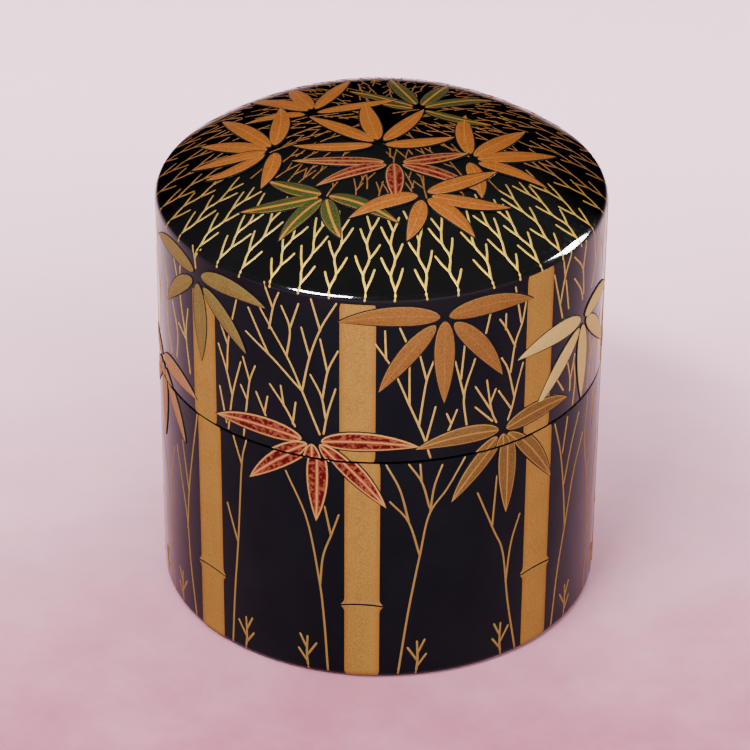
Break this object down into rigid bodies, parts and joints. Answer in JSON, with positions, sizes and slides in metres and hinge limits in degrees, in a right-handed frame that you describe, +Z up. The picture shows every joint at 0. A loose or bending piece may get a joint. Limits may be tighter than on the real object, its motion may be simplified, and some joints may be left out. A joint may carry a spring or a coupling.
{
  "type": "tea caddy",
  "caption": "Upright round tea caddy in black lacquer, joined at mid height: a cup with a raised collar and a domed lift-off lid, with raised gold bamboo stems.",
  "frame": {"origin": "centre of the underside, on the plane of the foot", "axes": "+Z up along the caddy's axis and the way the lid lifts; -Y is the front, +X its right-hand side"},
  "size_m": [0.0666, 0.0666, 0.0755],
  "materials": {
    "turned_wood": "matte",
    "black_lacquer": "high gloss",
    "lining_lacquer": "gloss",
    "gold_powder": "satin",
    "pale_gold_powder": "satin",
    "green_gold_powder": "satin",
    "red_lacquer": "satin"
  },
  "bodies": {
    "cup": {"cup_wood": "turned_wood", "collar_ring_wood": "turned_wood", "base_lacquer": "black_lacquer", "cup_outer_lacquer": "black_lacquer", "cup_inner_lacquer": "lining_lacquer", "gold_stem_lower_1": "gold_powder", "gold_stem_lower_2": "gold_powder", "gold_stem_lower_3": "gold_powder", "gold_stem_lower_4": "gold_powder", "gold_stem_lower_5": "gold_powder", "gold_stem_lower_6": "gold_powder", "gold_stem_lower_7": "gold_powder", "gold_stem_lower_8": "gold_powder"},
    "lid": {"lid_wood": "turned_wood", "lid_outer_lacquer": "black_lacquer", "lid_inner_lacquer": "lining_lacquer", "gold_stem_upper_1": "gold_powder", "gold_stem_upper_2": "gold_powder", "gold_stem_upper_3": "gold_powder", "gold_stem_upper_4": "gold_powder", "gold_stem_upper_5": "gold_powder", "gold_stem_upper_6": "gold_powder", "gold_stem_upper_7": "gold_powder", "gold_stem_upper_8": "gold_powder"}
  },
  "joints": [
    {"name": "lid_lift", "type": "slide", "parent": "cup", "child": "lid", "axis": [0, 0, 1], "range_m": [0, 0.08]}
  ]
}
